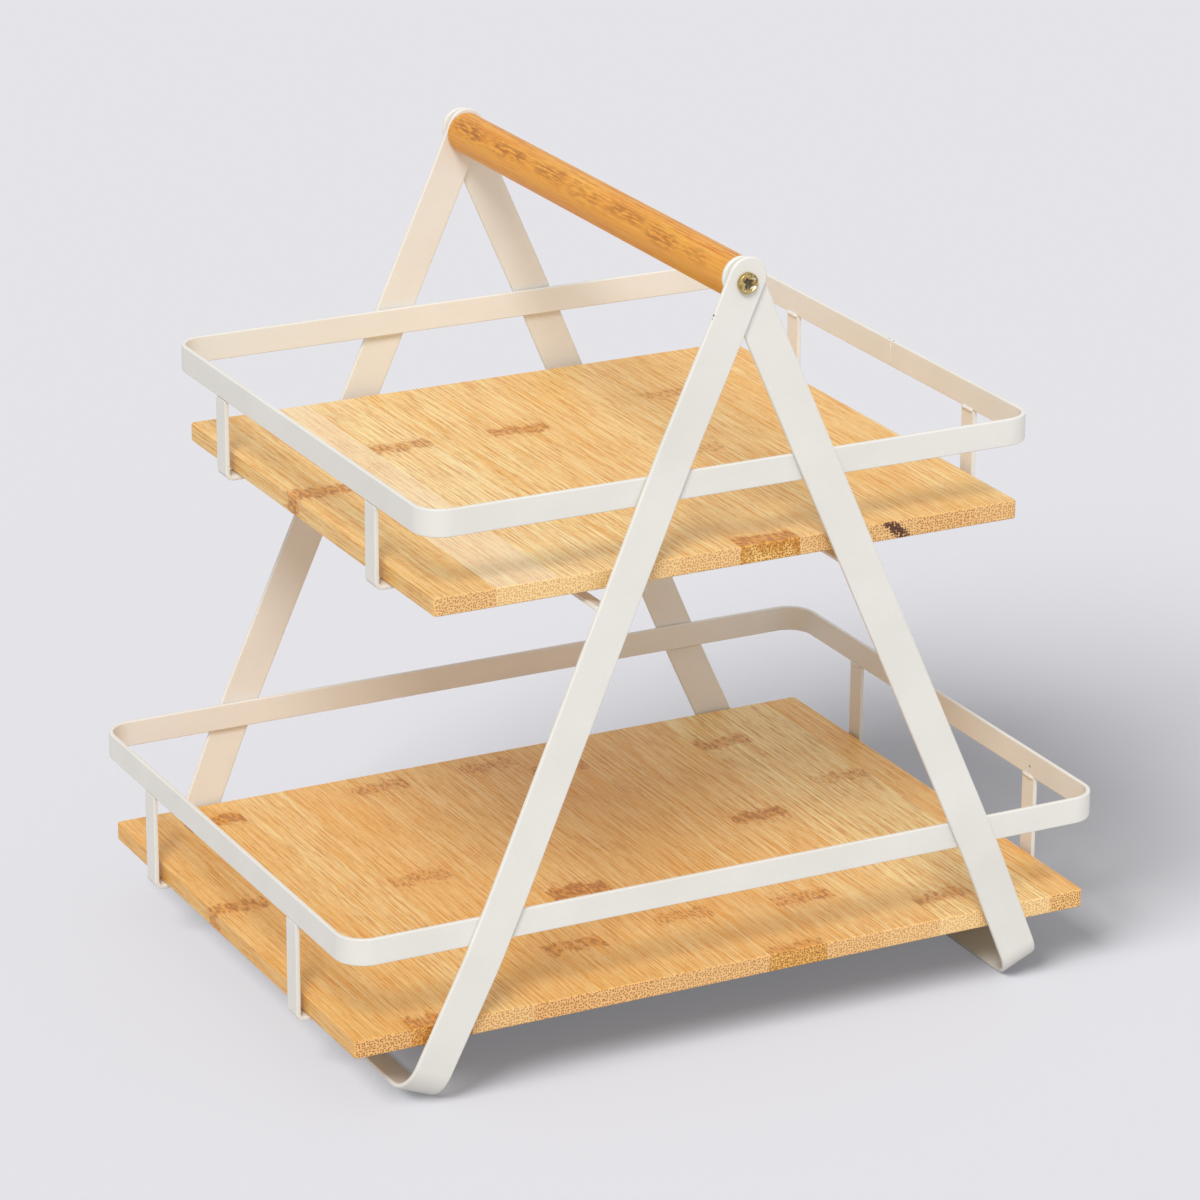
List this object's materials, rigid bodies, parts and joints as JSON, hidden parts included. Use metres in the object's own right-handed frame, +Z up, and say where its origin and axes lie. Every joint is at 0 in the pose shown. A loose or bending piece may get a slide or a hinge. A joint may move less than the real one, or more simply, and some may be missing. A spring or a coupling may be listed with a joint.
{
  "type": "kitchen counter rack",
  "caption": "Two-tier kitchen counter rack: A-shaped flat steel frame, railed bamboo boards and a round bamboo carrying grip.",
  "frame": {"origin": "on the counter, under the middle of the rack", "axes": "+Z up, X along the boards' long edges, Y along the grip"},
  "size_m": [0.3962, 0.2996, 0.3821],
  "materials": {
    "coated_steel": "satin warm white powder coat",
    "board_bamboo": "clear satin lacquer on glued bamboo strips",
    "grip_bamboo": "clear satin lacquer on turned bamboo",
    "yellow_zinc": "yellow zinc plating"
  },
  "bodies": {
    "rack": {"left_leg_frame": "coated_steel", "right_leg_frame": "coated_steel", "left_crossbar": "coated_steel", "right_crossbar": "coated_steel", "upper_rim": "coated_steel", "lower_rim": "coated_steel", "upper_near_strap": "coated_steel", "upper_far_strap": "coated_steel", "lower_near_strap": "coated_steel", "lower_far_strap": "coated_steel", "upper_board": "board_bamboo", "lower_board": "board_bamboo", "upper_board_screw_1": "yellow_zinc", "upper_board_screw_2": "yellow_zinc", "upper_board_screw_3": "yellow_zinc", "upper_board_screw_4": "yellow_zinc", "lower_board_screw_1": "yellow_zinc", "lower_board_screw_2": "yellow_zinc", "lower_board_screw_3": "yellow_zinc", "lower_board_screw_4": "yellow_zinc"},
    "grip": {"handle_grip": "grip_bamboo", "near_grip_screw": "yellow_zinc", "far_grip_screw": "yellow_zinc"}
  },
  "joints": [
    {"name": "grip_turn", "type": "hinge", "parent": "rack", "child": "grip", "pos_m": [0, 0, 0.3705], "axis": [0, 1, 0], "continuous": true}
  ]
}
